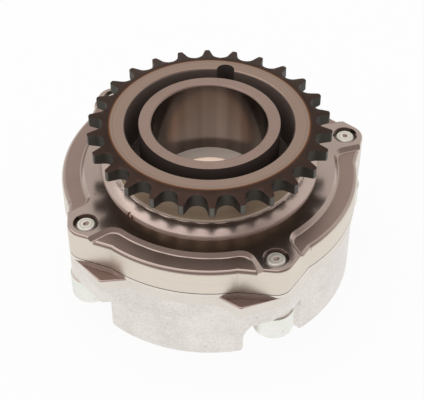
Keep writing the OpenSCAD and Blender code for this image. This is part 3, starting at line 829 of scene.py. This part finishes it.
def lip_profile():
    """Fillet and slope of a lip, as growth of the outline and rise above the arc's floor."""
    slope = math.radians(LIP_SLOPE)
    profile = []
    for i in range(FILLET_STEPS + 1):
        turned = slope * i / FILLET_STEPS
        growth = LIP_CLEARANCE + LIP_FILLET * math.sin(turned)
        profile.append((growth, LIP_FILLET * (1 - math.cos(turned))))
    growth, rise = profile[-1]
    rest = PLATE_TOP_Z - ARC_Z + LIP_OVERCUT - rise
    profile.append((growth + rest / math.tan(slope), rise + rest))
    return profile


def make_lip_cutter():
    """Solids that turn the upright walls of the lowered arcs into slopes."""
    profile = lip_profile()
    vertices = []
    faces = []
    next_bearings = BOLT_BEARINGS[1:] + BOLT_BEARINGS[:1]
    for bearing, next_bearing, tabs in zip(BOLT_BEARINGS, next_bearings, ARC_TABS):
        span = math.radians((next_bearing - bearing) % 360)
        base = len(vertices)
        for growth, rise in profile:
            height = Vector((0, 0, ARC_Z - FLOOR_SKIM + rise))
            outline = lowered_outline(bearing, span, *tabs, growth)
            vertices += [(point.to_3d() + height) * MM for point in outline]
        count = len(outline)
        top = base + count * (len(profile) - 1)
        faces.append([base + i for i in range(count)])
        faces.append([top + i for i in reversed(range(count))])
        for level in range(base, top, count):
            for i in range(count):
                after = (i + 1) % count
                faces.append([level + after, level + i, level + count + i, level + count + after])
    mesh = bpy.data.meshes.new("lip_cutter")
    mesh.from_pydata(vertices, [], faces)
    cutter = bpy.data.objects.new("lip_cutter", mesh)
    bpy.context.scene.collection.objects.link(cutter)
    make_active(cutter)
    bpy.ops.object.mode_set(mode="EDIT")
    bpy.ops.mesh.select_all(action="SELECT")
    bpy.ops.mesh.normals_make_consistent(inside=False)
    bpy.ops.object.mode_set(mode="OBJECT")
    return cutter


def cut_lips(piece):
    """Cuts the slopes along the lowered arcs and takes the cutter away again."""
    cutter = make_lip_cutter()
    make_active(piece)
    slopes = piece.modifiers.new("slopes", "BOOLEAN")
    slopes.operation = "DIFFERENCE"
    slopes.solver = "EXACT"
    slopes.object = cutter
    bpy.ops.object.modifier_apply(modifier=slopes.name)
    bpy.data.objects.remove(cutter)


def make_sprocket_with_plate():
    piece = merged_copy("sprocket_plate", "sprocket_with_plate")

    def tooth_tip(first, second):
        on_tip = min(radius(first), radius(second)) > TOOTH_TIP_R - 0.1
        return on_tip and abs(first.z - second.z) > TOOTH_TIP_LENGTH

    def crisp(first, second):
        if min(first.z, second.z) > DISC_Z - 1:
            return True
        middle = (first + second) / 2
        plate_edge = radius(middle) > ARC_R - 2 and middle.z > SEAM_Z + 1
        collar = NECK_R - 0.5 < radius(middle) < COLLAR_R + 0.5 and middle.z > PLATE_TOP_Z - 0.1
        return not plate_edge and not collar

    cut_lips(piece)
    join_flat_faces()
    bevel_edges(piece, TOOTH_TIP_BEND, tooth_tip, TOOTH_TIP_WIDTH, ROUND_STEPS)
    bevel_edges(piece, EDGE_BEND, crisp, EDGE_WIDTH, EDGE_STEPS)
    finish_piece(piece, "sprocket_plate", "housing")


def cut_across(piece, start, end, share):
    """Cuts the faces beside an edge across it, at a share of its length."""
    mesh = piece.data
    for polygon in mesh.polygons:
        corners = [mesh.vertices[i].co for i in polygon.vertices]
        polygon.select = all(min((corner - point).length for corner in corners) < SAME_POINT * MM
                             for point in (start, end))
    bpy.ops.object.mode_set(mode="EDIT")
    bpy.ops.mesh.select_mode(type="FACE")
    bpy.ops.mesh.bisect(plane_co=start.lerp(end, share), plane_no=end - start)
    bpy.ops.object.mode_set(mode="OBJECT")


def angle_from_bolt(point):
    """Angle of a point from the nearer front bolt, about the camshaft axis, in degrees."""
    bearing = math.degrees(math.atan2(point.y, point.x)) % 360
    return min(abs(bearing - bolt) for bolt in FRONT_BOLT_BEARINGS)


def make_housing_cup():
    piece = merged_copy("housing", "housing_cup")
    join_flat_faces()

    def gusset_side(first, second):
        is_long = (first - second).length > GUSSET_SIDE_LENGTH
        return at_level(SHELF_Z, first, second) and is_long and radius((first + second) / 2) > PLATE_R + 0.5

    def rim(first, second):
        middle = (first + second) / 2
        on_shelf = at_level(SHELF_Z, first, second) and radius(middle) > PLATE_R + 0.3
        return on_shelf and angle_from_bolt(middle) > NOSE_ANGLE

    def rest(first, second):
        return not at_level(SHELF_Z, first, second)

    pick_edges(piece, EDGE_BEND, gusset_side)
    bpy.ops.object.mode_set(mode="OBJECT")
    mesh = piece.data
    sides = [[mesh.vertices[i].co.copy() for i in edge.vertices] for edge in mesh.edges if edge.select]
    for side in sides:
        nose, corner = sorted(side, key=angle_from_bolt)
        cut_across(piece, nose, corner, RIM_START)
    bevel_edges(piece, EDGE_BEND, rim, GUSSET_RIM_WIDTH, ROUND_STEPS, outward_only=True)
    bevel_edges(piece, EDGE_BEND, rest, EDGE_WIDTH, EDGE_STEPS)
    finish_piece(piece, "housing", "housing")


def make_rotor_with_hub():
    piece = merged_copy("rotor", "rotor_with_hub")
    join_flat_faces()
    bevel_edges(piece, EDGE_BEND, every_edge, EDGE_WIDTH, EDGE_STEPS)
    finish_piece(piece, "rotor", "rotor")


def make_clamp_bolt_set():
    piece = merged_copy("clamp_bolts", "clamp_bolt_set")
    join_flat_faces()
    bevel_edges(piece, EDGE_BEND, every_edge, BOLT_EDGE_WIDTH, EDGE_STEPS)
    finish_piece(piece, "clamp_bolts", "housing")


def make_lock_spring_coil():
    """Coil spring of the lock pin."""
    piece = merged_copy("lock_pin_spring", "lock_spring_coil")
    finish_piece(piece, "lock_pin_spring", "rotor", COIL_SMOOTH_BEND)
    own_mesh(piece)


make_sprocket_with_plate()
make_housing_cup()
make_rotor_with_hub()
make_clamp_bolt_set()
make_lock_spring_coil()


# Floor, light and camera


def make_floor():
    """Pale floor that shows nearly white and takes a faint contact shadow."""
    bpy.ops.object.select_all(action="DESELECT")
    bpy.ops.mesh.primitive_plane_add(size=FLOOR_SIZE, location=(0, 0, 0))
    floor = bpy.context.object
    floor.name = "floor"
    material = bpy.data.materials.new("floor_sheet")
    material.use_nodes = True
    tree = material.node_tree
    tree.nodes.clear()
    path = tree.nodes.new("ShaderNodeLightPath").outputs
    seen = calc(tree, "MAXIMUM", part_of(tree, path["Is Camera Ray"], FLOOR_GLOW), path["Is Glossy Ray"])
    cloth = put(tree, "BsdfDiffuse", {"Color": opaque(ROOM_TONES["cloth"])})
    glow = put(tree, "Emission", {"Color": opaque(WHITE), "Strength": 1.0})
    surface = put(tree, "MixShader", {0: seen, 1: cloth.outputs[0], 2: glow.outputs[0]})
    output = tree.nodes.new("ShaderNodeOutputMaterial")
    tree.links.new(surface.outputs[0], output.inputs["Surface"])
    floor.data.materials.append(material)


def make_room():
    """White room for the camera and the soft light. In reflections it is pale at the horizon, warm
    grey above the back and dim on one side, where a studio is left dark."""
    world = bpy.data.worlds.new("room")
    bpy.context.scene.world = world
    world.use_nodes = True
    tree = world.node_tree
    tree.nodes.clear()
    path = tree.nodes.new("ShaderNodeLightPath").outputs
    direction = tree.nodes.new("ShaderNodeTexCoord").outputs["Generated"]
    height = put(tree, "SeparateXYZ", {0: direction}).outputs["Z"]
    towards = put(tree, "VectorMath", {0: direction, 1: DARK_SIDE}, operation="DOT_PRODUCT").outputs["Value"]
    walls = mix(tree, fade(tree, towards, -0.3, 0.35), ROOM_TONES["back"], ROOM_TONES["dark"])
    reflected = mix(tree, fade(tree, height, 0.0, 0.05), ROOM_TONES["horizon"], walls)
    lit = mix(tree, path["Is Diffuse Ray"], WHITE, ROOM_TONES["soft"])
    colour = mix(tree, path["Is Glossy Ray"], lit, reflected)
    background = put(tree, "Background", {"Color": colour, "Strength": 1.0})
    output = tree.nodes.new("ShaderNodeOutputWorld")
    tree.links.new(background.outputs[0], output.inputs["Surface"])


def make_soft_overhead():
    data = bpy.data.lights.new("soft_overhead", "AREA")
    data.size = LAMP_SIZE
    data.energy = LAMP_POWER
    data.color = LAMP_COLOUR
    lamp = bpy.data.objects.new("soft_overhead", data)
    bpy.context.scene.collection.objects.link(lamp)
    lamp.location = LAMP_PLACE
    lamp.rotation_euler = (LAMP_AIM - LAMP_PLACE).to_track_quat("-Z", "Y").to_euler()


def make_camera():
    data = bpy.data.cameras.new("camera")
    data.sensor_width = SENSOR_WIDTH
    data.sensor_fit = "HORIZONTAL"
    data.lens = SENSOR_WIDTH * FOCAL_PIXELS / FRAME_WIDTH
    data.clip_start = CLIP_START
    camera = bpy.data.objects.new("camera", data)
    bpy.context.scene.collection.objects.link(camera)
    camera.location = CAMERA_PLACE
    camera.rotation_euler = CAMERA_BACK.to_track_quat("Z", "Y").to_euler()
    bpy.context.scene.camera = camera


make_floor()
make_room()
make_soft_overhead()
make_camera()
bpy.context.scene.view_settings.view_transform = "Standard"

bpy.context.view_layer.update()
